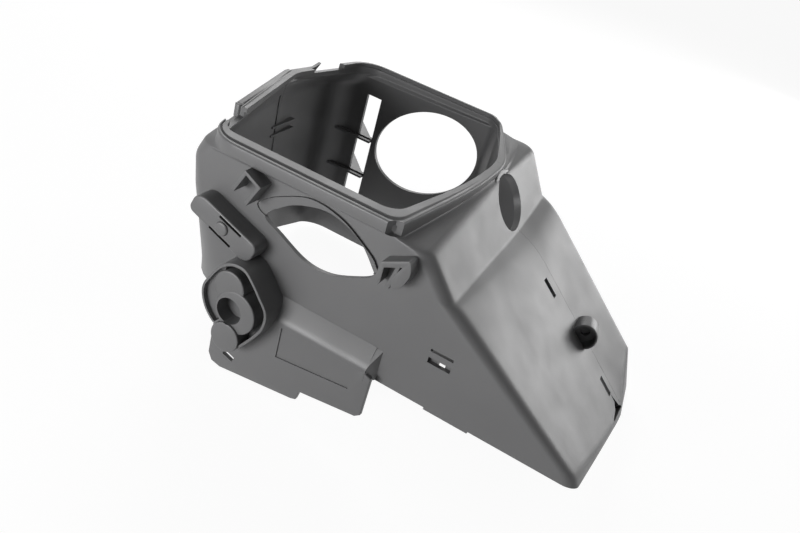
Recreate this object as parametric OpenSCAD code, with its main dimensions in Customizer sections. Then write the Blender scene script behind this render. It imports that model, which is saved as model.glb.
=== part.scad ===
// Cylinder cooling shroud: two moulded half shells that close round an engine cylinder.
// Millimetres. +Z is the cylinder's axis, out through the collar. +X runs to the duct end,
// +Y from the front wall to the back wall. Inside the modules the collar's rim is at z = 0,
// the front wall's face at y = 0 and the collar's front right corner at x = 0.
// The finished part is moved so that the fixing bore's mouth is the origin.

/* [Body] */
// wall thickness of both shells
wall = 2.3; // [1.6:0.1:3.5]
// front left corner, left of the collar's front right corner
body_left = 109.5; // [90:0.5:130]
// how much further out the left wall is at the seam
body_bulge = 19.5; // [8:0.5:30]
// front wall face to back wall face
body_d = 159; // [130:1:190]
// front wall face to the back wall of the duct
duct_d = 150; // [120:1:180]
// rim down to the lower edge of the front wall
front_h = 81.5; // [70:0.5:100]
// rim down to the lower edge of the back wall
back_h = 120; // [100:1:140]

/* [Collar] */
// width of the collar at the front
collar_w = 104.5; // [90:0.5:120]
// how far the collar stands in front of the front wall
collar_front = 4; // [2:0.5:6]
// how far the collar bulges to the right near the seam
collar_bulge = 7.5; // [3:0.5:12]
// height of the collar's outer face
collar_h = 6.5; // [4:0.5:12]
// thickness of the rim's lip
lip_t = 2.5; // [1.5:0.1:4]
// width of the rim's lip at the front
lip_front = 10; // [5:0.5:14]
// width of the rim's lip at the sides
lip_side = 5; // [3.5:0.5:8]
// groove in the front lip
groove_w = 1.2; // [0.6:0.1:2]

/* [Duct] */
// collar corner to the end of the duct
duct_end = 112; // [90:1:130]
// where the ramp begins at the front wall
ramp_x = 38; // [30:1:50]
// how far below the rim the ramp begins at the front wall
ramp_z = 28; // [20:1:40]
// fall of the ramp at the front wall, in degrees
ramp_fall = 34; // [25:1:45]
// fall of the ramp from the seam to the back wall, in degrees
ramp_fall_back = 41.7; // [30:0.1:50]

/* [Seam] */
// seam behind the front wall, at the collar's corner
seam_y = 100.5; // [80:0.5:120]
// turn of the seam about the cylinder's axis, in degrees
seam_skew = 4; // [0:0.5:8]
// gap between the two shells
seam_gap = 0.2; // [0.1:0.05:0.6]

/* [Openings] */
// radius of the plug hole
plug_r = 14.9; // [10:0.1:18]
// width of the raised ring round the plug hole
plug_ring = 2.6; // [1.5:0.1:4]
// half length of the oval hole in the back wall
back_hole_a = 35; // [25:0.5:38]
// half width of the oval hole in the back wall
back_hole_b = 25.4; // [18:0.5:28]
// turn of that oval, in degrees
back_hole_turn = 28.7; // [0:0.1:45]
// half length of the oval hole in the front wall
front_hole_a = 29; // [20:0.5:34]
// half height of the oval hole in the front wall
front_hole_b = 13; // [9:0.5:16]
// width of the step round that hole
front_hole_step = 6; // [2:0.5:8]
// width of the three louvre windows
window_w = 9.8; // [6:0.1:14]
// height of a louvre window
window_h = 22.4; // [15:0.1:26]

/* [Screws] */
// radius of the bore for the screw that fixes the shroud
fix_bore_r = 7; // [4:0.1:8]
// outer radius of the boss round that bore
fix_boss_r = 11.5; // [9:0.1:15]
// outer radius of the cup round the bosses
cup_r = 19; // [16:0.5:24]
// how far the cup stands out of the front wall
cup_l = 15; // [10:0.5:22]
// outer radius of the boss that joins the shells
join_boss_r = 6.9; // [5:0.1:9]
// radius of the bore that joins the shells
join_bore_r = 2.6; // [1.5:0.1:4]

/* [Skirt] */
// length of the skirt along the front wall
skirt_w = 89; // [70:1:100]
// how far the skirt stands in front of the front wall
skirt_out = 6; // [3:0.5:10]
// rim down to the lower edge of the skirt
skirt_h = 117; // [95:1:135]
// depth of the panel sunk in the skirt
panel_sink = 0.7; // [0.3:0.1:1.2]

/* [Model] */
// which piece to draw

/* [Hidden] */
$fn = 48;
eps = 0.05;
far = 400;                               // longer than the part, for cutting planes
plastic = [0.20, 0.20, 0.205];

bend_n = 3;                              // facets in a rounded corner of a section
top_z = -3;                              // top of the body, under the rim
base_z = -max(back_h, front_h) - 8;      // below every lower edge
ramp_g = tan(ramp_fall);
ramp_gb = tan(ramp_fall_back);
shoulder_x = 17;                         // where the shoulder turns down at the front wall
valley_x = ramp_x - 5;                   // foot of the shoulder at the front wall
end_front_z = -ramp_z - (duct_end - 3 - ramp_x) * ramp_g;
seam_ramp_x = ramp_x + 8;                // where the ramp runs straight at the seam
seam_ramp_z = -ramp_z - 18.5;
back_ramp_x = ramp_x - 6.2;              // where it begins at the back wall
back_ramp_z = -ramp_z - 5;
end_seam_z = seam_ramp_z - (duct_end - 1.3 - seam_ramp_x) * ramp_gb;
end_back_z = back_ramp_z - (duct_end - 12 - back_ramp_x) * ramp_gb;

// right edge of a section at height z: at the front wall, at the seam, at the back wall
front_edge = [[top_z, 1], [-6, 2], [-9.5, shoulder_x], [-ramp_z + 1, valley_x],
    [-ramp_z, ramp_x], [end_front_z, duct_end - 3], [end_front_z - 3.5, duct_end]];
seam_edge = [[top_z, collar_bulge - 1.5], [-5, collar_bulge + 1.5],
    [-ramp_z - 3, 24.5], [-ramp_z - 6, 32], [-ramp_z - 11.5, 39.5],
    [seam_ramp_z, seam_ramp_x], [end_seam_z, duct_end - 1.3], [end_seam_z - 2.5, duct_end]];
back_edge = [[top_z, 4], [-6, 10], [-ramp_z + 1, 19.8], [-ramp_z - 1.5, 25.4],
    [back_ramp_z, back_ramp_x], [end_back_z, duct_end - 12],
    [end_back_z - 12 * ramp_gb, duct_end]];
// where the ramp runs out into the duct's end, from the front wall to the seam
end_at = 12;
end_edge = [[end_front_z, end_at], [end_seam_z - 2.5, seam_y - 18]];
left_edge = [[top_z, -collar_w + 3], [-9, -body_left], [-16, -body_left - 1.5], [-80, -body_left + 1.5]];
corner_run = [[top_z, 12], [-12, 6], [-20, 6], [-80, 33]];
back_left = [[top_z, -body_left - 9], [-18, -body_left - body_bulge]];

function table(z, t) = lookup(-z, [for (p = t) [-p[0], p[1]]]);
function unit(v) = v / norm(v);

// one rounded corner b between a and c, starting run before it
function bend(a, b, c, run) =
    let (u = unit(a - b), v = unit(c - b), w = sqrt(max(0, (1 - u * v) / 2)),
         p = b + u * run, q = b + v * run)
    [for (i = [0:bend_n])
        let (s = i / bend_n, k = [(1 - s) * (1 - s), 2 * w * s * (1 - s), s * s])
        (k[0] * p + k[1] * b + k[2] * q) / (k[0] + k[1] + k[2])];

// closed outline through corners, each [x, y, run]
function outline(cs) =
    let (n = len(cs), p = [for (c = cs) [c[0], c[1]]])
    [for (i = [0:n - 1])
        each bend(p[(i + n - 1) % n], p[i], p[(i + 1) % n], cs[i][2])];

// section of the body at height z, moved in by t
function section(z, t) =
    let (zu = z + (t > 0 ? t * 0.95 : 0), tx = t * 0.45,
         xf = table(zu, front_edge), xs = table(zu, seam_edge), k = end_at / seam_y,
         low = zu < end_front_z)
    outline([
        [table(z, left_edge) + t, t, table(z, corner_run)],
        [xf - tx, t, 5],
        [(low ? duct_end : xf + (xs - xf) * k) - tx, low ? table(zu, end_edge) : end_at, 3],
        [xs - tx, seam_y + 3, 14],
        [table(zu, back_edge) - tx, duct_d - t, 6],
        [-16, duct_d - t, 4],
        [-22, body_d - t, 3],
        [table(z, back_left) + t, body_d - t, 14],
        [-body_left - body_bulge + t, seam_y - 2, 25]]);

levels = concat([base_z, end_seam_z, (end_seam_z + end_front_z) / 2, end_front_z - 3.5],
    [for (i = [0:3]) end_front_z + i * (seam_ramp_z - end_front_z) / 3],
    [-ramp_z - 11.5, -ramp_z - 6, -ramp_z - 3, -ramp_z, -ramp_z + 1, -19, -9.5, -6, top_z]);

// solid through rings of points, lowest ring first
module loft(rings) {
    n = len(rings[0]);
    m = len(rings);
    polyhedron(
        points = [for (r = rings) each r],
        faces = concat(
            [[for (i = [0:n - 1]) i]],
            [[for (i = [n - 1:-1:0]) (m - 1) * n + i]],
            [for (k = [0:m - 2], i = [0:n - 1])
                let (a = k * n + i, b = k * n + (i + 1) % n)
                each [[a, a + n, b + n], [a, b + n, b]]]));
}

function ring_at(z, zs, t) = [for (p = section(zs, t)) [p[0], p[1], z]];

module body_outer() loft([for (z = levels) ring_at(z, z, 0)]);

// hollow of the body, open below
module body_inner() {
    loft([for (i = [0:len(levels) - 1])
        let (z = levels[i] - (i == 0 ? 1 : i == len(levels) - 1 ? wall : 0),
             zs = i == len(levels) - 1 ? z : levels[i])
        ring_at(z, zs, wall)]);
}

// outline of the collar, moved in by t
function collar_outline(t, front, back) = outline([
    [-collar_w + 3 + t, -collar_front + front, 16],
    [1.5 - t, -collar_front + front, 9],
    [collar_bulge + 1 - t, 68, 22],
    [collar_bulge - 0.5 - t, seam_y + 6, 14],
    [-22 - t, body_d + 2 - back, 9],
    [-body_left - 4 + t, body_d + 2 - back, 13],
    [-body_left - body_bulge + 1 + t, seam_y, 12]]);

module collar_solid() translate([0, 0, -collar_h - 3])
    linear_extrude(collar_h + 3) polygon(collar_outline(0, 0, 0));

module collar_hollow() {
    translate([0, 0, -wall - 20 - eps]) linear_extrude(wall + 20 + eps - lip_t)
        polygon(collar_outline(wall, wall + collar_front, wall + 2));
    translate([0, 0, -lip_t - eps]) linear_extrude(lip_t + 1)
        polygon(collar_outline(lip_side, lip_front, lip_side - 1.5));
}

// groove along the front lip
module lip_groove() translate([-collar_w + 14, -collar_front + 2.6, -0.8])
    cube([collar_w - 26, groove_w, 1]);

// everything below the sloping lower edge
module below(y0) {
    g = atan((back_h - front_h) / body_d);
    intersection() {
        translate([-far / 2, 0, -front_h]) rotate([-g, 0, 0])
            translate([0, -far / 2, -far]) cube([far, far, far]);
        translate([-far / 2, y0, -far]) cube([far, far, far]);
    }
}

// the duct's end slopes back behind the seam
module end_corner() translate([duct_end - 1, seam_y + 6.5, end_seam_z])
    rotate([0, 71, 11.7]) translate([-far / 2, -far / 2, 0]) cube(far);

// places where the collar's edge stands lower, on the left
module collar_nicks() {
    translate([-far - 90, 14.5, -5]) cube([far, 19, 10]);
    translate([-far - 100, 113, -3.2]) cube([far, 25, 10]);
}

module oval(a, b) polygon([for (i = [0:47]) [a * cos(i * 7.5), b * sin(i * 7.5)]]);

// along Y, through y0 to y1, a shape drawn in x and z
module along_y(y0, y1) translate([0, y1, 0]) rotate([90, 0, 0]) linear_extrude(y1 - y0) children();

front_hole_at = [-35.5, -27];
back_hole_at = [-59.5, -38.9];

module front_hole() {
    along_y(-20, 20) translate(front_hole_at) rotate(-4) oval(front_hole_a, front_hole_b);
    along_y(-eps, 1) intersection() {
        translate(front_hole_at) rotate(-4)
            oval(front_hole_a + front_hole_step, front_hole_b + front_hole_step);
        translate(front_hole_at) rotate(-4) translate([-60, 1]) square([120, 30]);
    }
}

module back_hole() along_y(body_d - 10, body_d + 10) translate(back_hole_at)
    rotate(back_hole_turn) oval(back_hole_a, back_hole_b);

plug_at = [15.5, 98.5, -17];
plug_lean = 32;                          // the plug's axis above level, in degrees

module at_plug() translate(plug_at) rotate([0, 90 - plug_lean, 3]) children();

module plug_wall() at_plug() translate([0, 0, -3]) cylinder(r = plug_r + plug_ring, h = 3.4);
module plug_hole() at_plug() translate([0, 0, -16]) cylinder(r = plug_r, h = 32);

cup_at = [-64, -70];
fix_at = [-66.5, -77.3];
disc_a = [-69, -65, 8.6];                // discs beside the fixing bore: x, z, radius
disc_c = [-65.8, -92, 8.1];
boss_at = [fix_at[0] + 3.2, fix_at[1] + 0.5];
boss_l = cup_l - 1;

module disc(d) translate([d[0], d[1]]) circle(r = d[2]);

module cup() {
    along_y(-cup_l, 2) difference() {
        union() {
            translate(cup_at) circle(r = cup_r);
            polygon([cup_at + [0, -10], cup_at + [cup_r - 1, -6],
                [disc_c[0] + 8, disc_c[1] - 6], [disc_c[0] + 4, disc_c[1]]]);
        }
        translate(cup_at) circle(r = cup_r - 1.8);
        polygon([cup_at + [0, -9], cup_at + [cup_r - 3.2, -6],
            [disc_c[0] + 6, disc_c[1] - 5], [disc_c[0] + 4, disc_c[1] - 8], [disc_c[0], disc_c[1]]]);
    }
    along_y(-boss_l, 2) disc(disc_a);
    along_y(-boss_l, 2) translate(boss_at) circle(r = fix_boss_r);
    along_y(-boss_l, 2) disc(disc_c);
    along_y(-boss_l + 1.5, 2) intersection() {
        translate(cup_at) circle(r = cup_r - 1);
        translate([cup_at[0] - 30, cup_at[1] - 30]) square([21, 45]);
    }
}

module fix_bore() along_y(-far / 4, 20) translate(fix_at) circle(r = fix_bore_r);

skirt_left = -skirt_w + 9.5;
skirt_top = -64.7;
ledge_z = skirt_top - 9;

// skirt: a plate in front of the front wall, under a sloping ledge
module skirt_plate() difference() {
    along_y(-skirt_out, -skirt_out + wall) polygon([
        [skirt_left, ledge_z - 1], [skirt_left, -skirt_h + 4], [skirt_left + 2.5, -skirt_h],
        [skirt_left + 8, -skirt_h - 1], [-28.4, -skirt_h + 5], [-25.6, -skirt_h + 6],
        [-24.4, -skirt_h + 11.5], [7, -skirt_h + 16], [9.2, -skirt_h + 18], [9.5, -78],
        [5, ledge_z]]);
    along_y(-skirt_out - 1, -skirt_out + panel_sink) polygon([
        [-41.2, -94.7], [-0.4, -89.5], [-0.7, ledge_z - 2], [-41.2, ledge_z - 2]]);
    translate([-70, -skirt_out - 5, -109]) rotate([0, 18, 0]) cube([5.2, 10, 1.6]);
}

module ledge() difference() {
    union() {
        translate([skirt_left, 0, 0]) rotate([90, 0, 90]) linear_extrude(skirt_w) polygon([
            [0.5, skirt_top], [0, skirt_top], [-skirt_out, ledge_z], [-skirt_out, ledge_z - 3],
            [-skirt_out + wall, ledge_z - 3], [-skirt_out + wall, ledge_z - 0.5],
            [1.5, skirt_top - 3]]);
        for (x = [skirt_left, 4]) translate([x, 0, 0]) rotate([90, 0, 90])
            linear_extrude(wall) polygon([
                [1, skirt_top - 1], [0, skirt_top], [-skirt_out, ledge_z],
                [-skirt_out, -front_h], [1, -front_h]]);
    }
    translate([4 + wall, -far / 2, ledge_z - 4]) rotate([0, -20, 0])
        translate([0, 0, -1]) cube([20, far, 20]);
}

// lug on the front wall with a pair of notches and a low pad
lug_at = [-77.3, -36];
lug_w = 39.6;
lug_h = 12.6;
lug_turn = -19.5;
module lug() {
    along_y(-cup_l, 6) translate(lug_at) rotate(lug_turn) difference() {
        polygon(outline([[-lug_w / 2, -lug_h / 2 + 1, 3], [lug_w / 2, -lug_h / 2, 7],
            [lug_w / 2, lug_h / 2, 4], [-lug_w / 2, lug_h / 2, 7]]));
        for (s = [-1, 1]) translate([-5 + s, s * (lug_h / 2 - 1) - 0.7]) square([14, 1.4]);
    }
    along_y(-cup_l - 0.8, -cup_l + 1) translate(lug_at) rotate(lug_turn) circle(r = 3.6);
}

// clip that holds a lead: two prongs and a back, open below
module lead_clip(w, l, t, side) along_y(-side, 1) difference() {
    polygon([[-w / 2, t], [w / 2, t], [w / 2, -l], [-w / 2, -l]]);
    polygon([[-w / 2 + t, 0], [w / 2 - t, 0], [w / 2 - t, -l - 1], [-w / 2 + t, -l - 1]]);
}

module loop() translate([-70.5, 0, -10.5]) rotate([0, 26, 0]) lead_clip(10.5, 11.5, 1.7, 8.5);

// clip beside the collar's front right corner, with a broader tongue
module hook() translate([6.5, 0, -12.5]) rotate([0, 26, 0]) {
    lead_clip(15, 13, 1.8, 8);
    along_y(-7, -5) polygon([[1.5, 1], [7, 1], [7, -15], [5, -17.5], [2, -16]]);
}

// wire slots in the front wall
module wire_slots() for (s = [[-51, 1.3], [-56.4, 2.4]])
    translate([30.6, -5, s[0] - s[1] / 2]) cube([11.5, 20, s[1]]);

// screw boss across the seam: a recess for the head, then the bore
join_at = [78, 99, -69];                 // mouth of the recess
join_turn = [80.5, 0, 12.5];             // the axis rises a little towards the front
join_l = 14;
join_sink = 4;                           // depth of the recess
module at_join(z) translate(join_at) rotate(join_turn) translate([0, 0, z]) children();
module join_boss() at_join(-join_l) cylinder(r = join_boss_r, h = join_l);
module join_bore() {
    at_join(-join_sink) cylinder(r = join_boss_r - 1, h = join_sink + eps);
    at_join(2 - join_l) cylinder(r = join_bore_r, h = join_l);
}

// the seam opens towards the duct's end
module seam_gape() rotate([0, 0, seam_skew]) translate([0, seam_y + eps, -far])
    linear_extrude(2 * far) polygon([[duct_end - 6, 0], [duct_end + 20, -5], [duct_end + 20, 0]]);

// clip windows where the ramp meets the seam
module seam_slots() {
    for (p = [[50, 96.5, -49.5], [94.4, 102.3, -92.5]]) translate(p) rotate([0, 42, 4])
        translate([-5, -2, -8]) cube([11, 4, 16]);
}

module shell() difference() {
    union() {
        difference() {
            union() {
                body_outer();
                collar_solid();
                plug_wall();
                cup();
                lug();
                join_boss();
            }
            body_inner();
            collar_hollow();
            collar_nicks();
            translate([skirt_left + wall, -eps, -far - 78]) cube([skirt_w - 2 * wall, 5, far]);
        }
    }
    plug_hole();
    lip_groove();
}

// half space on one side of the seam
module seam_half(side) rotate([0, 0, seam_skew]) translate([0, seam_y, 0])
    translate([-far, side > 0 ? seam_gap / 2 : -far - seam_gap / 2, -far]) cube([2 * far, far, 2 * far]);

module put() translate([-fix_at[0], boss_l, -fix_at[1]]) children();

module front_shell() color(plastic) put() difference() {
    union() {
        difference() {
            intersection() {
                shell();
                seam_half(-1);
            }
            below(-skirt_out + wall + 1);
            end_corner();
        }
        skirt_plate();
        ledge();
        loop();
        hook();
    }
    front_hole();
    fix_bore();
    join_bore();
    wire_slots();
    seam_slots();
    seam_gape();
}

// louvre plates outside the windows
module louvres() for (z = [-46, -70.5]) translate([0, 0, z - 1])
    linear_extrude(1.8) polygon([[-95.7, body_d - wall + eps], [-116.5, body_d + 20],
        [-116.5, body_d - wall + eps]]);

// top and height of the windows in the back wall
window_rows = [[-18.4, window_h + 4], [-47.2, window_h], [-71.7, window_h - 2.4]];
module windows() for (w = window_rows)
    translate([-105.6, body_d - 10, w[0] - w[1]]) cube([window_w, 20, w[1]]);

module rear_shell() color(plastic) put() difference() {
    union() {
        difference() {
            intersection() {
                shell();
                seam_half(1);
            }
            below(-20);
            end_corner();
            windows();
        }
        louvres();
    }
    back_hole();
    join_bore();
    seam_slots();
}

front_shell();
rear_shell();
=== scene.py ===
"""Cylinder cooling shroud: the detailed look of both moulded half shells, over the CAD frame.

Sizes in this file are millimetres in the shroud's own working frame: the collar's rim is at
z = 0, the front wall's face at y = 0 and the collar's front right corner at x = 0. Finished
pieces are moved into the shared frame, whose origin is the fixing bore's mouth.
"""

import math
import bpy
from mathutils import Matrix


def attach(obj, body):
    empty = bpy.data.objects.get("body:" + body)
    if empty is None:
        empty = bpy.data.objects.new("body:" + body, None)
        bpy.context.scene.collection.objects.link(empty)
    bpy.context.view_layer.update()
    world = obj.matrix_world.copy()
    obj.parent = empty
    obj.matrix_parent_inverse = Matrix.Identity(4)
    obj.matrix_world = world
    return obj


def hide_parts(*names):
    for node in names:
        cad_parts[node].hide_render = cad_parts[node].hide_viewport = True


bl_info = {
    "name": "Cylinder Cooling Shroud",
    "version": (1, 0, 0),
    "blender": (4, 5, 0),
    "location": "3D View > Sidebar > Shroud",
    "description": "Builds the moulded cooling shroud in detail around its CAD frame",
    "category": "Object",
}

import bmesh
import bpy
from bpy.props import FloatProperty, FloatVectorProperty, PointerProperty
from mathutils import Matrix, Vector

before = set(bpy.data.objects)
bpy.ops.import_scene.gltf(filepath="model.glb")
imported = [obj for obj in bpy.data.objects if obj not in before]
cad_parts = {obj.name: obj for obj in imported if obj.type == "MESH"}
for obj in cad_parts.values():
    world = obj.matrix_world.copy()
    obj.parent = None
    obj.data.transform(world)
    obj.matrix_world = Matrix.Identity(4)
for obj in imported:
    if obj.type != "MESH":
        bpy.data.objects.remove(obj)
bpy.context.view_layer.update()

MM = 0.001
SHIFT = Vector((66.5, 14.0, 77.3))  # working frame to shared frame
TO_ROW = Matrix.Scale(MM, 4) @ Matrix.Translation(SHIFT)
SMOOTH_BELOW = math.radians(32)  # edges bent less than this are shaded smooth
FAR = 400.0  # longer than the shroud, for cutting solids

# Nine edges run down the moulding. Each has a point (x, y, z, corner run) at nine levels: lip,
# rim, foot of the collar, shoulder top, shoulder edge, valley, ramp start, ramp end, lower edge.
EDGES = {
    "front_left": (
        (-100.5, 6.2, 0, 8), (-101, -4, 0, 16), (-101, -4, -6.5, 16), (-108.5, 0, -9, 10),
        (-111, 0, -16, 6), (-110.7, 0, -30, 10), (-110.5, 0, -34, 11), (-108.3, 0, -74, 31),
        (-108, 0, -81.5, 34)),
    "front_right": (
        (-5.5, 6.2, 0, 8), (1.5, -4, 0, 4.5), (1.5, -4, -6.5, 4.5), (2, 0, -7.5, 5),
        (17, 0, -9.5, 7), (33, 0, -27, 7), (36.5, 0, -28.3, 8), (109, 0, -76.2, 7),
        (112, 0, -81.5, 7)),
    "right_middle": (
        (3, 60, 0, 30), (8.5, 60, 0, 30), (8, 60, -5, 30), (7.5, 52, -5.5, 20),
        (13, 52, -7.3, 20), (28.5, 52, -29, 20), (37, 52, -33, 20), (111.3, 52, -90.5, 20),
        (112, 52, -94, 20)),
    "right_seam": (
        (2.5, 102, 0, 14), (7, 104, 0, 14), (7, 104, -3, 14), (7.5, 103.5, -3.8, 14),
        (9.5, 103.5, -5.5, 14), (24.5, 103.5, -31, 14), (38, 103.5, -37.3, 14),
        (110.7, 103.5, -104.2, 14), (111.7, 103.5, -106, 14)),
    "back_right": (
        (-12, 137.6, 0, 5), (-10, 139, 0, 5), (-10, 139, -3, 5), (-2, 146, -3, 6),
        (6.5, 150, -4, 6), (20.2, 150, -26.8, 6), (30.1, 150, -31.1, 6), (100.9, 150, -93.4, 6),
        (107.5, 150, -115.5, 6)),
    "jog_inner": (
        (-19, 152.9, 0, 3), (-17.2, 152.6, 0, 3), (-17.2, 152.6, -3, 3), (-14.5, 150, -3.4, 3),
        (-15, 150, -5, 3), (-15, 150, -30, 3), (-15, 150, -34, 3), (-15, 150, -90, 3),
        (-15, 150, -116, 3)),
    "jog_outer": (
        (-26.3, 159.4, 0, 3), (-25, 161, 0, 3), (-25, 161, -6.5, 3), (-23, 159, -7, 3),
        (-23, 159, -9, 3), (-23, 159, -30, 3), (-23, 159, -34, 3), (-23, 159, -90, 3),
        (-23, 159, -118, 3)),
    "back_left": (
        (-111.5, 159.4, 0, 12), (-113.5, 161, 0, 13), (-113.5, 161, -6.5, 13), (-120, 159, -9, 14),
        (-128, 159, -16, 14), (-129, 159, -30, 14), (-129, 159, -34, 14), (-129, 159, -90, 14),
        (-129, 159, -118, 14)),
    "left_seam": (
        (-122.5, 99, 0, 5), (-128, 100, 0, 5), (-128, 100, -4, 5), (-128.3, 98.5, -6, 25),
        (-129, 98.5, -14, 25), (-129, 98.5, -30, 25), (-129, 98.5, -34, 25),
        (-128.5, 98.5, -80, 25), (-128.5, 98.5, -105, 25)),
}
LEVEL_RUNS = (1.0, 1.2, 1.0, 3.0, 1.0, 9.0, 3.0)  # rounding at the levels from rim to ramp end
LEVEL_STEPS = (5, 4, 4, 6, 4, 8, 4)
BAND_STEPS = (24, 2, 2, 3, 6, 2, 14, 4)  # rows between one level and the next
WALL_STEPS = (30, 10, 10, 8, 8, 3, 16, 10, 16)  # columns between one edge and the next
CORNER_STEPS = 8
GROOVE_ROWS = slice(15, 21)  # rows between lip and rim that the lip's groove lowers
GROOVE_SHARES = (0.3, 0.8, 1, 1, 0.8, 0.3)


# Sizes and colours

class ShroudSizes(bpy.types.PropertyGroup):
    """Sizes of the shroud, in millimetres"""

    wall: FloatProperty(
        name="Wall", description="Thickness of the moulded wall", default=2.3, min=1.6, max=3.5)
    lip: FloatProperty(
        name="Lip", description="Thickness of the collar's lip", default=2.5, min=1.5, max=4.0)
    plug_radius: FloatProperty(
        name="Plug hole radius", description="Radius of the hole for the plug", default=14.9,
        min=10.0, max=18.0)
    plug_ring: FloatProperty(
        name="Plug ring", description="Width of the raised ring round the plug hole",
        default=2.6, min=1.5, max=4.0)
    bore_radius: FloatProperty(
        name="Fixing bore radius", description="Radius of the bore for the fixing screw",
        default=7.0, min=4.0, max=8.0)
    seam_gap: FloatProperty(
        name="Seam gap", description="Gap between the two shells", default=0.12, min=0.05, max=0.6)
    lip_groove: FloatProperty(
        name="Lip groove", description="Depth of the groove along the front lip", default=0.8,
        min=0.0, max=1.2)


class ShroudColours(bpy.types.PropertyGroup):
    """Finish of the moulded plastic"""

    plastic: FloatVectorProperty(
        name="Plastic", description="Colour of the moulded plastic", subtype="COLOR", size=3,
        default=(0.120, 0.120, 0.122), min=0.0, max=1.0)
    roughness: FloatProperty(
        name="Roughness", description="Mean roughness of the plastic", default=0.43, min=0.0,
        max=1.0, subtype="FACTOR")
    grain: FloatProperty(
        name="Grain", description="Depth of the fine moulded grain", default=0.10, min=0.0,
        max=1.0, subtype="FACTOR")
    waves: FloatProperty(
        name="Waves", description="Depth of the slow unevenness of the moulded faces",
        default=0.35, min=0.0, max=1.0, subtype="FACTOR")


class ShroudStage(bpy.types.PropertyGroup):
    """Floor, lights and camera"""

    floor_height: FloatProperty(
        name="Floor height", description="Height of the floor in the shared frame",
        default=-0.0428, unit="LENGTH")
    lens: FloatProperty(
        name="Lens", description="Focal length of the camera", default=40.5, min=20.0,
        max=120.0)


# Mesh tools

def bend(a, b, c, run, steps):
    """Points of the rounded corner b between a and c; the fourth number is carried along."""
    to_a, to_c = a - b, c - b
    p = b + to_a * min(run / max(to_a.xyz.length, 1e-6), 0.46)
    q = b + to_c * min(run / max(to_c.xyz.length, 1e-6), 0.46)
    spread = to_a.xyz.normalized().dot(to_c.xyz.normalized())
    pull = math.sqrt(max(0.0, (1 - spread) / 2))
    points = []
    for i in range(steps + 1):
        s = i / steps
        k = ((1 - s) ** 2, 2 * pull * s * (1 - s), s * s)
        points.append((p * k[0] + b * k[1] + q * k[2]) / sum(k))
    return points


def between(p, q, steps):
    """Points from p to q, without the two ends."""
    return [p.lerp(q, i / steps) for i in range(1, steps)]


def down_the_wall(points, shrink=0.0):
    """One edge of the moulding from its lip to its lower edge, rounded at each level."""
    line = [points[0]]
    for i, (run, steps) in enumerate(zip(LEVEL_RUNS, LEVEL_STEPS), start=1):
        corner = bend(points[i - 1], points[i], points[i + 1], max(run - shrink, 0.4), steps)
        line += between(line[-1], corner[0], BAND_STEPS[i - 1]) + corner
    return line + between(line[-1], points[-1], BAND_STEPS[-1]) + [points[-1]]


def round_the_wall(corners):
    """One closed row round the moulding through its nine edges."""
    count = len(corners)
    bends = []
    for i, corner in enumerate(corners):
        following = corners[(i + 1) % count]
        bends.append(bend(corners[i - 1], corner, following, corner.w, CORNER_STEPS))
    row = []
    for i, points in enumerate(bends):
        row += points + between(points[-1], bends[(i + 1) % count][0], WALL_STEPS[i])
    return row


def inset_net(net, depth):
    """The net of edges moved in by depth, square to the faces that meet at each point."""
    levels, edges = len(net), len(net[0])

    def face(k, r):
        a, b = net[k][r].xyz, net[k][(r + 1) % edges].xyz
        d, c = net[k + 1][r].xyz, net[k + 1][(r + 1) % edges].xyz
        square = (c - a).cross(b - d)
        return square.normalized(), min(square.length / 2, 60.0)

    moved = []
    for k in range(levels):
        row = []
        for r in range(edges):
            a, b = Matrix.Diagonal((1, 1, 1)) * 0.5, Vector((0, 0, 0))
            for k0 in (k - 1, k):
                if not 0 <= k0 < levels - 1:
                    continue
                for r0 in ((r - 1) % edges, r):
                    n, weight = face(k0, r0)
                    b -= n * depth * weight
                    for i in range(3):
                        for j in range(3):
                            a[i][j] += weight * n[i] * n[j]
            move = a.inverted() @ b
            if move.length > 2.0 * depth:
                move *= 2.0 * depth / move.length
            row.append((net[k][r].xyz + move).to_4d())
            row[-1].w = max(net[k][r].w - 0.4 * depth, 1.0)
        moved.append(row)
    return moved


def grid_to_rows(bm, rows):
    """A welded band of faces whose vertices lie on the rows; returns its first and last edges."""
    across, down = len(rows[0]), len(rows) - 1
    made = bmesh.ops.create_grid(bm, x_segments=across, y_segments=down, size=1.0)["verts"]
    ends = ([], [])
    for vert in made:
        i = round((vert.co.x + 1) / 2 * across)
        j = round((vert.co.y + 1) / 2 * down)
        vert.co = rows[j][i % across].xyz
        if j == 0:
            ends[0].append(vert)
        elif j == down:
            ends[1].append(vert)
    bmesh.ops.remove_doubles(bm, verts=made, dist=1e-4)
    loops = []
    for verts in ends:
        kept = {vert for vert in verts if vert.is_valid}
        loops.append([e for e in bm.edges if e.is_boundary and set(e.verts) <= kept])
    return loops


def mesh_of(bm, name):
    """A mesh from a bmesh whose faces are all made to point outwards."""
    bmesh.ops.recalc_face_normals(bm, faces=bm.faces[:])
    mesh = bpy.data.meshes.new(name)
    bm.to_mesh(mesh)
    bm.free()
    return mesh


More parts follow.
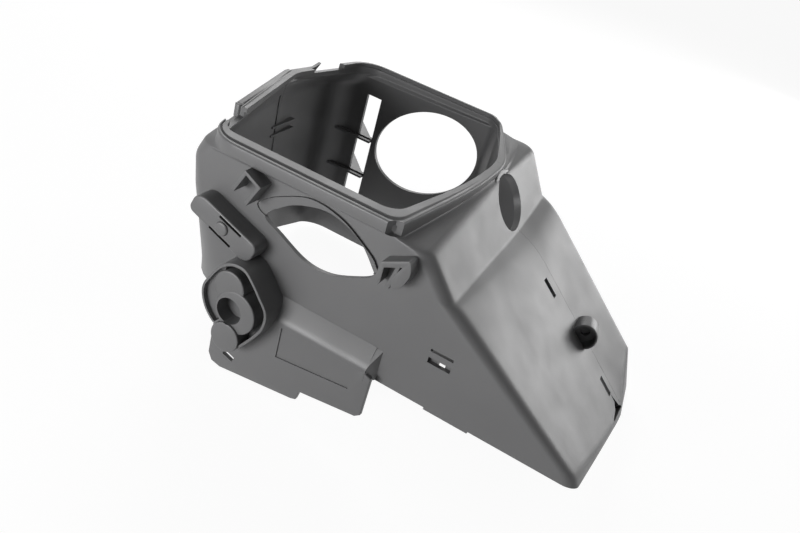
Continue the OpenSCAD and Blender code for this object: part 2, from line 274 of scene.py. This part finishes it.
def prism(axis, outline, start, end, edge=0.0, turn=Matrix.Identity(4)):
    """A prism along axis 0, 1 or 2 from an outline in the other two; edge rounds its start."""
    bm = bmesh.new()
    verts = []
    for point in outline:
        place = list(point)
        place.insert(axis, start)
        verts.append(bm.verts.new(place))
    face = bm.faces.new(verts)
    grown = bmesh.ops.extrude_face_region(bm, geom=[face])["geom"]
    moved = [item for item in grown if isinstance(item, bmesh.types.BMVert)]
    length = Vector((0, 0, 0))
    length[axis] = end - start
    bmesh.ops.translate(bm, verts=moved, vec=length)
    if edge > 0:
        rim = [e for e in bm.edges if all(abs(v.co[axis] - start) < 1e-5 for v in e.verts)]
        bmesh.ops.bevel(bm, geom=rim, offset=edge, offset_type="OFFSET", segments=3,
                        profile=0.5, affect="EDGES", material=-1, clamp_overlap=True)
    bmesh.ops.transform(bm, matrix=turn, verts=bm.verts[:])
    return mesh_of(bm, "prism")


def box(low, high, turn=Matrix.Identity(4)):
    """A plain box between two corners."""
    low, high = Vector(low), Vector(high)
    bm = bmesh.new()
    bmesh.ops.create_cube(bm, size=1.0)
    bmesh.ops.transform(bm, verts=bm.verts[:], matrix=turn @ Matrix.Translation(
        (low + high) / 2) @ Matrix.Diagonal((high - low).to_4d()))
    return mesh_of(bm, "box")


def rod(radius, start, end, turn, edge=0.0, segments=96):
    """A cylinder along its own Z from start to end, then turned into place."""
    bm = bmesh.new()
    bmesh.ops.create_cone(bm, cap_ends=True, segments=segments, radius1=radius, radius2=radius,
                          depth=end - start)
    bmesh.ops.translate(bm, verts=bm.verts[:], vec=(0, 0, (start + end) / 2))
    if edge > 0:
        rim = [e for e in bm.edges if all(abs(v.co.z - end) < 1e-5 for v in e.verts)]
        bmesh.ops.bevel(bm, geom=rim, offset=edge, offset_type="OFFSET", segments=4,
                        profile=0.5, affect="EDGES", material=-1, clamp_overlap=True)
    bmesh.ops.transform(bm, matrix=turn, verts=bm.verts[:])
    return mesh_of(bm, "rod")


def round_outline(corners, steps=8):
    """Closed outline through (x, z, run) corners."""
    points = [Vector((x, 0, z, run)) for x, z, run in corners]
    outline = []
    for i, point in enumerate(points):
        rounded = bend(points[i - 1], point, points[(i + 1) % len(points)], point.w, steps)
        outline += [(p.x, p.z) for p in rounded]
    return outline


def smooth_outline(points, steps=6):
    """Closed smooth curve through (x, z) points."""
    count = len(points)
    outline = []
    for i in range(count):
        p0, p1, p2, p3 = (Vector(points[(i + j - 1) % count]) for j in range(4))
        for j in range(steps):
            t = j / steps
            p = 0.5 * (2 * p1 + (p2 - p0) * t + (2 * p0 - 5 * p1 + 4 * p2 - p3) * t * t
                       + (3 * p1 - p0 - 3 * p2 + p3) * t ** 3)
            outline.append((p.x, p.y))
    return outline


def ellipse(x, z, half_x, half_z, turn, count=96):
    """Outline of an ellipse turned by some degrees."""
    c, s = math.cos(math.radians(turn)), math.sin(math.radians(turn))
    points = []
    for i in range(count):
        u = half_x * math.cos(2 * math.pi * i / count)
        v = half_z * math.sin(2 * math.pi * i / count)
        points.append((x + u * c - v * s, z + u * s + v * c))
    return points


def drawn_in(outline, middle, share):
    """The outline with each point moved towards the middle by a share of its distance."""
    return [(x + (middle[0] - x) * share, z + (middle[1] - z) * share) for x, z in outline]


def combine(mesh, tools, operation):
    """The mesh joined with, or cut by, each tool in turn. The tools are used up."""
    work = bpy.data.objects.new("work", mesh)
    bpy.context.scene.collection.objects.link(work)
    helpers = []
    for tool in tools:
        helper = bpy.data.objects.new("tool", tool)
        bpy.context.scene.collection.objects.link(helper)
        change = work.modifiers.new("change", "BOOLEAN")
        change.operation, change.object, change.solver = operation, helper, "MANIFOLD"
        helpers.append(helper)
    depsgraph = bpy.context.evaluated_depsgraph_get()
    result = bpy.data.meshes.new_from_object(work.evaluated_get(depsgraph))
    for helper in helpers + [work]:
        old = helper.data
        bpy.data.objects.remove(helper)
        bpy.data.meshes.remove(old)
    if not result.polygons:
        raise RuntimeError("a boolean left nothing")
    return result


def finish_piece(name, mesh, replaced=()):
    """A piece in the shared frame, in the shell's plastic, riding on the root body."""
    bm = bmesh.new()
    bm.from_mesh(mesh)
    bmesh.ops.remove_doubles(bm, verts=bm.verts[:], dist=0.01)
    bmesh.ops.dissolve_degenerate(bm, edges=bm.edges[:], dist=0.01)
    bmesh.ops.transform(bm, matrix=TO_ROW, verts=bm.verts[:])
    for edge in bm.edges:
        edge.smooth = edge.is_manifold and edge.calc_face_angle(0.0) < SMOOTH_BELOW
    for face in bm.faces:
        face.smooth = True
    clean = bpy.data.meshes.new(name)
    bm.to_mesh(clean)
    bm.free()
    bpy.data.meshes.remove(mesh)
    piece = bpy.data.objects.new(name, clean)
    bpy.context.scene.collection.objects.link(piece)
    clean.materials.clear()
    clean.materials.append(moulded_plastic())
    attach(piece, "root")
    for node in replaced:
        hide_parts(node)
    return piece


# Finish

def moulded_plastic():
    """Satin dark plastic with faint flow marks, fine grain, slow waves and uneven gloss."""
    known = bpy.data.materials.get("moulded_plastic")
    if known:
        return known
    colours = bpy.context.scene.shroud_colours
    material = bpy.data.materials.new("moulded_plastic")
    material.use_nodes = True
    nodes, links = material.node_tree.nodes, material.node_tree.links
    shader = nodes["Principled BSDF"]
    shader.inputs["Metallic"].default_value = 0.0
    shader.inputs["IOR"].default_value = 1.50
    shader.inputs["Specular IOR Level"].default_value = 0.55
    place = nodes.new("ShaderNodeTexCoord")

    def noise(scale, detail, stretch=(1, 1, 1)):
        turn = nodes.new("ShaderNodeMapping")
        turn.inputs["Scale"].default_value = stretch
        links.new(place.outputs["Object"], turn.inputs["Vector"])
        cloud = nodes.new("ShaderNodeTexNoise")
        cloud.inputs["Scale"].default_value = scale
        cloud.inputs["Detail"].default_value = detail
        links.new(turn.outputs["Vector"], cloud.inputs["Vector"])
        return cloud.outputs["Fac"]

    def spread(source, low, high):
        change = nodes.new("ShaderNodeMapRange")
        change.inputs["From Min"].default_value = 0.3
        change.inputs["From Max"].default_value = 0.7
        change.inputs["To Min"].default_value = low
        change.inputs["To Max"].default_value = high
        links.new(source, change.inputs["Value"])
        return change.outputs["Result"]

    flow = noise(14.0, 4.0, (0.6, 1.4, 1.0))
    tint = nodes.new("ShaderNodeMix")
    tint.data_type = "RGBA"
    base = Vector(colours.plastic)
    tint.inputs["A"].default_value = (*(base * 0.92), 1)
    tint.inputs["B"].default_value = (*(base * 1.10), 1)
    links.new(spread(flow, 0.0, 1.0), tint.inputs["Factor"])
    links.new(tint.outputs["Result"], shader.inputs["Base Color"])

    links.new(spread(noise(60.0, 5.0), colours.roughness - 0.03, colours.roughness + 0.04),
              shader.inputs["Roughness"])

    grain = nodes.new("ShaderNodeBump")
    grain.inputs["Strength"].default_value = colours.grain
    grain.inputs["Distance"].default_value = 0.0002
    links.new(noise(2200.0, 2.0), grain.inputs["Height"])
    waves = nodes.new("ShaderNodeBump")
    waves.inputs["Strength"].default_value = colours.waves
    waves.inputs["Distance"].default_value = 0.002
    links.new(noise(26.0, 1.0), waves.inputs["Height"])
    links.new(grain.outputs["Normal"], waves.inputs["Normal"])
    links.new(waves.outputs["Normal"], shader.inputs["Normal"])
    return material


# The moulded skin and its pieces

FRONT_OPENING = (
    (-65.3, -28.8), (-58.3, -21.2), (-48.5, -15.4), (-33, -12.1), (-16.8, -17.5), (-6.6, -28),
    (-5.8, -30.8), (-11.2, -34.8), (-25.9, -41), (-39.8, -41.1), (-55.5, -34.3))
ARCH = (
    (-70.4, -25.3), (-67, -20.5), (-57, -14.3), (-42, -8.6), (-25.3, -10.9), (-10, -19.2),
    (-4.6, -23.8), (-4.2, -29), (-30, -30), (-62, -29))
CUP = (
    (-66, -50), (-60.5, -50.6), (-54.9, -55.6), (-50.2, -61), (-46.2, -66), (-45.1, -71.5),
    (-46.5, -78), (-50.5, -85), (-55, -91.5), (-58.6, -96.5), (-61, -96), (-63, -90.5),
    (-68, -89), (-74, -87.4), (-79.6, -82), (-82.6, -75.5), (-82.8, -69.5), (-80, -63.2),
    (-75.8, -56.2), (-71, -51.8))
CUP_MIDDLE = (-64, -71)
FIX_AT = (-66.5, -77.3)
JOIN_TURN = (Matrix.Translation((78, 99, -69)) @ Matrix.Rotation(math.radians(12.5), 4, "Z")
             @ Matrix.Rotation(math.radians(80.5), 4, "X"))
PLUG_TURN = (Matrix.Translation((15.5, 98.5, -17)) @ Matrix.Rotation(math.radians(3), 4, "Z")
             @ Matrix.Rotation(math.radians(58), 4, "Y"))
END_TURN = (Matrix.Translation((110.2, 101.5, -103.7))
            @ Matrix.Rotation(math.radians(42.6), 4, "Y"))
CORNER_TURN = (Matrix.Translation((111, 107, -106.2))
               @ Matrix.Rotation(math.radians(11.7), 4, "Z")
               @ Matrix.Rotation(math.radians(71), 4, "Y"))
TO_FRONT = Matrix.Rotation(math.radians(90), 4, "X")  # own Z to -Y
SEAM_TURN = Matrix.Rotation(math.radians(4), 4, "Z")
SEAM_Y = 100.5


def moulded_skin():
    """Both shells in one closed wall, before the openings are cut and the seam parts them."""
    sizes = bpy.context.scene.shroud_sizes
    net = [[Vector(point) for point in level] for level in zip(*EDGES.values())]
    inner = inset_net(net, sizes.wall)
    for outside, inside in zip(net[0], inner[0]):
        inside.xyz = outside.xyz - Vector((0, 0, sizes.lip))
    for outside, inside in zip(net[-1], inner[-1]):
        inside.z = outside.z
    bm = bmesh.new()
    loops = []
    for points, shrink in ((net, 0.0), (inner, 0.6)):
        lines = [down_the_wall([row[r] for row in points], shrink) for r in range(len(EDGES))]
        if points is net:
            for line in lines[:2]:
                for point, share in zip(line[GROOVE_ROWS], GROOVE_SHARES):
                    point.z -= sizes.lip_groove * share
        rows = [round_the_wall([line[j] for line in lines]) for j in range(len(lines[0]))]
        loops.append(grid_to_rows(bm, rows))
    for end in (0, 1):
        bmesh.ops.bridge_loops(bm, edges=loops[0][end] + loops[1][end])
    return mesh_of(bm, "skin")


def shared_solids():
    """Solids on both sides of the seam: plug ring, screw boss and the block in the torn end."""
    sizes = bpy.context.scene.shroud_sizes
    return [
        rod(sizes.plug_radius + sizes.plug_ring, -3, 0.4, PLUG_TURN, edge=0.8),
        rod(6.9, -14, 0, JOIN_TURN, edge=0.6),
        box((-10, -13.4, -6.2), (-0.5, 7.8, -1), END_TURN),
    ]


def seam_slot(spot):
    """A slot over the ramp's seam, round the tab that stays inside it."""
    turn = (Matrix.Translation(spot) @ Matrix.Rotation(math.radians(4), 4, "Z")
            @ Matrix.Rotation(math.radians(42), 4, "Y"))
    tab = box((-3.6, -0.9, -9), (4.6, 3, -0.5), turn)
    return combine(box((-5, -2, -8), (6, 2, 8), turn), [tab], "DIFFERENCE")


def shared_cuts():
    """Cuts that are made in both shells."""
    sizes = bpy.context.scene.shroud_sizes
    return [
        rod(sizes.plug_radius, -16, 16, PLUG_TURN),
        # Recess and bore of the joining screw
        rod(5.9, -9, 0.1, JOIN_TURN),
        rod(2.6, -12, 1, JOIN_TURN),
        seam_slot((51, 95.5, -50.4)),
        seam_slot((95.4, 100.8, -93.4)),
        # The duct's end slopes back behind the seam
        box((-60, -60, 0), (60, 60, 60), CORNER_TURN),
        # Places where the collar's edge stands lower, on the left
        box((-FAR, 14.5, -5), (-90, 33.5, 5)),
        box((-FAR, 113, -3.2), (-100, 138, 5)),
        # Cut at the collar's front right corner
        prism(2, [(-3.7, -6), (-3.7, -4), (-1.6, 0.2), (3, 0.9), (3, -6)], -6.4, 2),
        # Slot along the left rim
        prism(2, [(-108.2, 48), (-113.0, 60), (-115.9, 73), (-113.6, 76), (-109.8, 66),
                  (-106.2, 50)], -2.2, 1),
        # Groove inside the left wall's seam and the thin slit that goes through it
        prism(0, [(87.9, -12), (89.6, -12), (92, -48), (90.3, -48)], -127.9, -118),
        prism(0, [(90, -37), (90.5, -37), (91.3, -48), (90.8, -48)], -FAR, -118),
        # Torn end of the seam
        prism(2, [(-12, 1.0), (-7, 2.8), (-3.2, 4.2), (-1.6, 7), (-0.8, 6.6), (-1.2, 2),
                  (-1.4, -5), (-1.8, -12.4), (-3.2, -12.4), (-4.0, -4), (-7, 0.8)],
              -5.2, 3, turn=END_TURN),
    ]


def half(side):
    """The space on one side of the seam."""
    gap = bpy.context.scene.shroud_sizes.seam_gap / 2
    if side == "front":
        return box((-FAR, SEAM_Y - gap - FAR, -FAR), (FAR, SEAM_Y - gap, FAR), SEAM_TURN)
    return box((-FAR, SEAM_Y + gap, -FAR), (FAR, SEAM_Y + gap + FAR, FAR), SEAM_TURN)


def shell_half(side, extra_solids, extra_cuts):
    """One half shell: the skin with its solids, parted at the seam and cut."""
    body = combine(moulded_skin(), shared_solids() + extra_solids, "UNION")
    body = combine(body, [half(side)], "INTERSECT")
    return combine(body, shared_cuts() + extra_cuts, "DIFFERENCE")


class SHROUD_OT_front_shell(bpy.types.Operator):
    """Build the front half shell with its wall, collar, ramp and openings"""

    bl_idname = "shroud.front_shell"
    bl_label = "Front shell"

    def execute(self, context):
        sizes = context.scene.shroud_sizes
        arch = smooth_outline(ARCH)
        arch_inside = smooth_outline([(x - 1.5, z - 1.4) for x, z in ARCH])
        cuts = [
            prism(1, smooth_outline(FRONT_OPENING), -20, 20),
            # The arch's shallow recess, and the finer groove along its upper right
            prism(1, arch, -5, 0.6),
            combine(prism(1, arch, -5, 1.9), [prism(1, arch_inside, -6, 4)], "DIFFERENCE"),
            prism(1, ellipse(*FIX_AT, sizes.bore_radius, sizes.bore_radius, 0), -20, 20),
        ]
        for z, height in ((-51, 1.4), (-56.4, 3.0)):
            cuts.append(box((30.6, -5, z - height / 2), (42.1, 2.5, z + height / 2)))
        # The thin tab on the lower edge, and the ribs behind the ends of the wire slots
        solids = [box((35.7, 0, -82.6), (58.6, 2.3, -80))]
        solids += [box((x, 1, -62), (x + 5, 5.5, -53.5)) for x in (29.8, 38.6)]
        finish_piece("front_moulding", shell_half("front", solids, cuts), ["front_shell"])
        return {"FINISHED"}


class SHROUD_OT_rear_shell(bpy.types.Operator):
    """Build the rear half shell with its outlet, the windows behind the louvres and the back of
    the collar
    """

    bl_idname = "shroud.rear_shell"
    bl_label = "Rear shell"

    def execute(self, context):
        cuts = [prism(1, ellipse(-59.5, -38.9, 35, 25.4, 28.7), 149, 169)]
        windows = ((-105.6, -18.4, 26.4), (-106.6, -46.9, 22.4), (-107.2, -71.4, 20.0))
        for left, top, height in windows:
            cuts.append(box((left, 149, top - height), (-95.8, 169, top)))
        # Backs the duct's sloping end, where the cut goes deeper than the wall
        solids = [box((-12, 31, -2.6), (-1, 42, 1), CORNER_TURN)]
        finish_piece("rear_moulding", shell_half("rear", solids, cuts), ["rear_shell"])
        return {"FINISHED"}


class SHROUD_OT_louvres(bpy.types.Operator):
    """Build the louvre plates outside the windows and the ribs inside the back wall"""

    bl_idname = "shroud.louvres"
    bl_label = "Louvres"

    def execute(self, context):
        for number, z in enumerate((-46.0, -70.5), start=1):
            plate = prism(2, [(-95.7, 156.8), (-116.5, 179), (-116.5, 156.8)], z - 1, z + 0.8)
            finish_piece(f"louvre_{number}", plate)
            finish_piece(f"inner_rib_{number}", box((-128, 153.8, z - 1), (-95.9, 157, z + 0.4)))
        return {"FINISHED"}


class SHROUD_OT_skirt(bpy.types.Operator):
    """Build the skirt with its sloping ledge and sunk panel"""

    bl_idname = "shroud.skirt"
    bl_label = "Skirt"

    def execute(self, context):
        left, top, ledge = -79.5, -64.7, -73.7
        plate = prism(1, [
            (left, ledge - 2.6), (left, -113.8), (left + 2.5, -118), (left + 8, -119.2),
            (-28.4, -113.2), (-25.6, -112.2), (-24.4, -106.7), (6.6, -102.2), (9.2, -100),
            (9.5, -78), (5, ledge - 2.6)], -5.9, -3.7, edge=0.5)
        panel = prism(1, [(-41.2, -94.7), (-0.4, -89.5), (-0.7, -77.2), (-41.2, -77.2)], -7, -5.3)
        slot = box((-0.5, -11, -1.2), (5.8, -1, 1.9), Matrix.Translation((-70, 0, -109))
                   @ Matrix.Rotation(math.radians(18), 4, "Y"))
        finish_piece("skirt", combine(plate, [panel, slot], "DIFFERENCE"))
        profile = round_outline([
            (0.5, top + 0.6, 0.2), (0, top + 0.6, 0.2), (-6, ledge, 3), (-6, ledge - 3.2, 0.2),
            (-3.7, ledge - 3.2, 0.2), (-3.7, ledge - 0.5, 0.2), (1.5, top - 3, 0.2)])
        # The right end is a wedge under the ledge's own rounded nose, points 18 to 26
        filled = [(0.5, top + 0.6), *profile[18:27], (-6, -81.4), (0.5, -81.4)]
        wedge = prism(2, [(5.5, -6.5), (5.5, 0.6), (9.8, 0.6)], -90, -60)
        end = combine(prism(0, filled, 5, 14), [wedge], "INTERSECT")
        finish_piece("ledge", combine(prism(0, profile, left, 6.0), [end], "UNION"))
        for number, x in enumerate((left, 4.0), start=1):
            cheek = prism(0, [(1, top - 1.2), (-0.2, top - 1.2), (-4.6, ledge - 0.4),
                              (-5.5, ledge - 3), (-5.5, -81.5), (1, -81.5)], x + 0.1, x + 2.4)
            finish_piece(f"skirt_cheek_{number}", cheek)
        return {"FINISHED"}


class SHROUD_OT_boss_cup(bpy.types.Operator):
    """Build the cup with its three overlapping discs and the fixing bore"""

    bl_idname = "shroud.boss_cup"
    bl_label = "Boss cup"

    def execute(self, context):
        sizes = context.scene.shroud_sizes
        rim = smooth_outline(CUP)
        low = Matrix.Translation((-65.8, 0, -92)) @ TO_FRONT
        wall = combine(prism(1, rim, -15, 2, edge=0.4), [rod(9.0, 8, 17, low)], "DIFFERENCE")
        hollow = prism(1, drawn_in(rim, CUP_MIDDLE, 0.07), -16, 3)
        filler = combine(prism(1, drawn_in(rim, CUP_MIDDLE, 0.05), -12.5, 2),
                         [box((-94, -30, -100), (-73, 10, -55))], "INTERSECT")
        solids = [
            rod(8.6, -2, 13.7, Matrix.Translation((-69, 0, -65)) @ TO_FRONT, edge=0.8),
            rod(11.5, -2, 14, Matrix.Translation((-63.3, 0, -76.8)) @ TO_FRONT, edge=0.8),
            rod(8.1, -2, 15.4, low, edge=0.6),
            filler,
        ]
        cup = combine(combine(wall, [hollow], "DIFFERENCE"), solids, "UNION")
        bore = rod(sizes.bore_radius, -20, 30, Matrix.Translation((FIX_AT[0], 0, FIX_AT[1]))
                   @ TO_FRONT)
        finish_piece("boss_cup", combine(cup, [bore], "DIFFERENCE"))
        return {"FINISHED"}


class SHROUD_OT_lug(bpy.types.Operator):
    """Build the lug with its two notches and low round pad"""

    bl_idname = "shroud.lug"
    bl_label = "Lug"

    def execute(self, context):
        turn = Matrix.Translation((-80.7, 0, -39.6)) @ Matrix.Rotation(math.radians(19.5), 4, "Y")
        outline = round_outline([(-19.8, -5.3, 3), (19.8, -6.3, 7), (19.8, 6.3, 4),
                                 (-19.8, 6.3, 7)])
        body = prism(1, outline, -10, 0.5, edge=0.8, turn=turn)
        notches = [box((-5 + side, -16, side * 4.7 - 0.7), (9 + side, 1, side * 4.7 + 0.7), turn)
                   for side in (-1, 1)]
        pad = rod(3.6, 5, 11.2, turn @ TO_FRONT, edge=0.9)
        finish_piece("lug", combine(combine(body, notches, "DIFFERENCE"), [pad], "UNION"))
        return {"FINISHED"}


class SHROUD_OT_lead_clips(bpy.types.Operator):
    """Build the two clips that hold leads on the front wall"""

    bl_idname = "shroud.lead_clips"
    bl_label = "Lead clips"

    def execute(self, context):
        half_width, leg, thick = 5.25, 11.5, 1.7
        inside = half_width - thick
        turn = Matrix.Translation((-70.5, 0, -10.5)) @ Matrix.Rotation(math.radians(26), 4, "Y")
        outline = [(-half_width, thick), (half_width, thick), (half_width, -leg), (inside, -leg),
                   (inside, 0), (-inside, 0), (-inside, -leg), (-half_width, -leg)]
        finish_piece("lead_clip", prism(1, outline, -8.5, 1, edge=0.3, turn=turn))
        hook = prism(1, round_outline([
            (-0.8, -17.5, 1), (12.4, -10.7, 1.5), (14.4, -17, 3), (11.5, -25, 4), (7, -28, 1.5),
            (6, -22.5, 0.5), (9.6, -15.4, 0.5), (1.4, -19.4, 0.5), (1.4, -27, 0.8),
            (0.2, -29.5, 0.8), (-1.4, -25, 3)]), -7.2, 1, edge=0.3)
        tongue = prism(1, [(6.8, -15), (8.4, -15.6), (5.6, -29), (3.4, -28.6)], -5.8, 1, edge=0.3)
        finish_piece("collar_clip", combine(hook, [tongue], "UNION"))
        return {"FINISHED"}


class SHROUD_OT_rim_strip(bpy.types.Operator):
    """Build the strip on the left rim, its hooked end and the clip on the left wall's seam"""

    bl_idname = "shroud.rim_strip"
    bl_label = "Rim strip"

    def execute(self, context):
        strip = prism(2, [(-115.2, 36), (-128.8, 95.5), (-128.8, 99), (-125.6, 99),
                          (-111.6, 35)], 0, -2.4, edge=0.5)
        curl = prism(2, round_outline([(-115.4, 34, 1.5), (-115.4, 38, 1.5), (-111.4, 38, 1.5),
                                       (-111.4, 34, 1.5)]), -0.2, -7.0, edge=0.4)
        tip = prism(0, [(98, -0.8), (124, -3.4), (131, -2.0), (126.5, -5.2), (126, -7), (98, -6)],
                    -128.8, -127.0)
        finish_piece("rim_strip", combine(strip, [curl, tip], "UNION"))
        blades = [box((-127.5, 86, z - 0.6), (-123.4, 108, z + 0.6)) for z in (-31.2, -36.4)]
        knot = box((-127.5, 85, -38), (-124.6, 89.5, -29.6))
        finish_piece("seam_clip", combine(knot, blades, "UNION"))
        return {"FINISHED"}


# Stage

LIGHT_WIDTH = 0.45
LIGHTS_AIM_AT = Vector((0.07, 0.07, 0.0))
LIGHTS = (  # name, place in metres, power in watts
    ("back_panel", (0.414, 0.90, 0.047), 2.5),
    ("back_softbox", (0.398, 0.861, 0.278), 1.0),
    ("left_fill", (-0.34, 0.72, 0.43), 1.9),
    ("front_panel", (-0.274, -0.76, 0.047), 8.7),
)


def area_light(name, place, power):
    """A soft square light that points at the shroud's middle and isn't seen itself."""
    lamp = bpy.data.lights.new(name, "AREA")
    lamp.shape, lamp.size, lamp.size_y = "RECTANGLE", LIGHT_WIDTH, LIGHT_WIDTH
    lamp.energy = power
    light = bpy.data.objects.new(name, lamp)
    light.location = place
    light.visible_camera = False
    light.rotation_euler = (LIGHTS_AIM_AT - Vector(place)).to_track_quat("-Z", "Y").to_euler()
    bpy.context.scene.collection.objects.link(light)


class SHROUD_OT_stage(bpy.types.Operator):
    """Set up the pale floor, the soft lights and the camera"""

    bl_idname = "shroud.stage"
    bl_label = "Stage"

    def execute(self, context):
        scene = context.scene
        stage = scene.shroud_stage
        bm = bmesh.new()
        bmesh.ops.create_grid(bm, x_segments=1, y_segments=1, size=6.0)
        bmesh.ops.translate(bm, verts=bm.verts[:], vec=(0, 0, stage.floor_height))
        mesh = bpy.data.meshes.new("floor")
        bm.to_mesh(mesh)
        bm.free()
        floor = bpy.data.objects.new("floor", mesh)
        scene.collection.objects.link(floor)
        mesh.materials.append(self.floor_paint())

        world = bpy.data.worlds.new("studio")
        scene.world = world
        world.use_nodes = True
        nodes, links = world.node_tree.nodes, world.node_tree.links
        room = nodes["Background"]
        room.inputs["Color"].default_value = (0.93, 0.93, 0.93, 1)
        room.inputs["Strength"].default_value = 0.04
        white = nodes.new("ShaderNodeBackground")
        white.inputs["Strength"].default_value = 1.0
        white.inputs["Color"].default_value = (1, 1, 1, 1)
        mix = nodes.new("ShaderNodeMixShader")
        links.new(self.seen_directly(nodes, links, 1.0), mix.inputs["Fac"])
        links.new(room.outputs["Background"], mix.inputs[1])
        links.new(white.outputs["Background"], mix.inputs[2])
        links.new(mix.outputs["Shader"], nodes["World Output"].inputs["Surface"])

        for name, place, power in LIGHTS:
            area_light(name, place, power)

        lens = bpy.data.cameras.new("camera")
        lens.sensor_width, lens.lens = 36.0, stage.lens
        lens.clip_start, lens.clip_end = 0.01, 50.0
        camera = bpy.data.objects.new("camera", lens)
        camera.location = (0.19148, -0.29873, 0.25431)
        camera.rotation_euler = [math.radians(a) for a in (58.527, -13.926, 29.272)]
        scene.collection.objects.link(camera)
        scene.camera = camera
        scene.view_settings.view_transform = "Standard"
        return {"FINISHED"}

    @staticmethod
    def seen_directly(nodes, links, amount):
        """How far a surface is seen by the camera, or in gloss or glass."""
        path = nodes.new("ShaderNodeLightPath")
        total = path.outputs["Is Camera Ray"]
        for name in ("Is Glossy Ray", "Is Transmission Ray"):
            add = nodes.new("ShaderNodeMath")
            add.operation, add.use_clamp = "ADD", True
            links.new(total, add.inputs[0])
            links.new(path.outputs[name], add.inputs[1])
            total = add.outputs[0]
        scale = nodes.new("ShaderNodeMath")
        scale.operation = "MULTIPLY"
        scale.inputs[1].default_value = amount
        links.new(total, scale.inputs[0])
        return scale.outputs[0]

    def floor_paint(self):
        """White floor that still takes the shroud's shadow."""
        paint = bpy.data.materials.new("white_floor")
        paint.use_nodes = True
        nodes, links = paint.node_tree.nodes, paint.node_tree.links
        shader = nodes["Principled BSDF"]
        shader.inputs["Base Color"].default_value = (0.85, 0.85, 0.85, 1)
        shader.inputs["Roughness"].default_value = 0.9
        shader.inputs["Specular IOR Level"].default_value = 0.1
        glow = nodes.new("ShaderNodeEmission")
        glow.inputs["Strength"].default_value = 1.16
        mix = nodes.new("ShaderNodeMixShader")
        links.new(self.seen_directly(nodes, links, 0.8), mix.inputs["Fac"])
        links.new(shader.outputs["BSDF"], mix.inputs[1])
        links.new(glow.outputs["Emission"], mix.inputs[2])
        links.new(mix.outputs["Shader"], nodes["Material Output"].inputs["Surface"])
        return paint


OPERATORS = (
    SHROUD_OT_front_shell, SHROUD_OT_rear_shell, SHROUD_OT_louvres, SHROUD_OT_skirt,
    SHROUD_OT_boss_cup, SHROUD_OT_lug, SHROUD_OT_lead_clips, SHROUD_OT_rim_strip,
    SHROUD_OT_stage)


class SHROUD_PT_panel(bpy.types.Panel):
    """Lists the shroud's sizes, colours and pieces"""

    bl_idname = "SHROUD_PT_panel"
    bl_label = "Cooling Shroud"
    bl_space_type = "VIEW_3D"
    bl_region_type = "UI"
    bl_category = "Shroud"

    def draw(self, context):
        layout = self.layout
        for group in ("shroud_sizes", "shroud_colours", "shroud_stage"):
            settings = getattr(context.scene, group)
            column = layout.column()
            for name in settings.__annotations__:
                column.prop(settings, name)
        for operator in OPERATORS:
            layout.operator(operator.bl_idname)


GROUPS = {"shroud_sizes": ShroudSizes, "shroud_colours": ShroudColours,
          "shroud_stage": ShroudStage}


def register():
    for group in (*GROUPS.values(), *OPERATORS, SHROUD_PT_panel):
        bpy.utils.register_class(group)
    for name, group in GROUPS.items():
        setattr(bpy.types.Scene, name, PointerProperty(type=group))


def unregister():
    for name in GROUPS:
        delattr(bpy.types.Scene, name)
    for group in reversed((*GROUPS.values(), *OPERATORS, SHROUD_PT_panel)):
        bpy.utils.unregister_class(group)


def main():
    register()
    bpy.ops.shroud.stage()
    bpy.ops.shroud.front_shell()
    bpy.ops.shroud.rear_shell()
    bpy.ops.shroud.louvres()
    bpy.ops.shroud.skirt()
    bpy.ops.shroud.boss_cup()
    bpy.ops.shroud.lug()
    bpy.ops.shroud.lead_clips()
    bpy.ops.shroud.rim_strip()


if __name__ == "__main__":
    main()
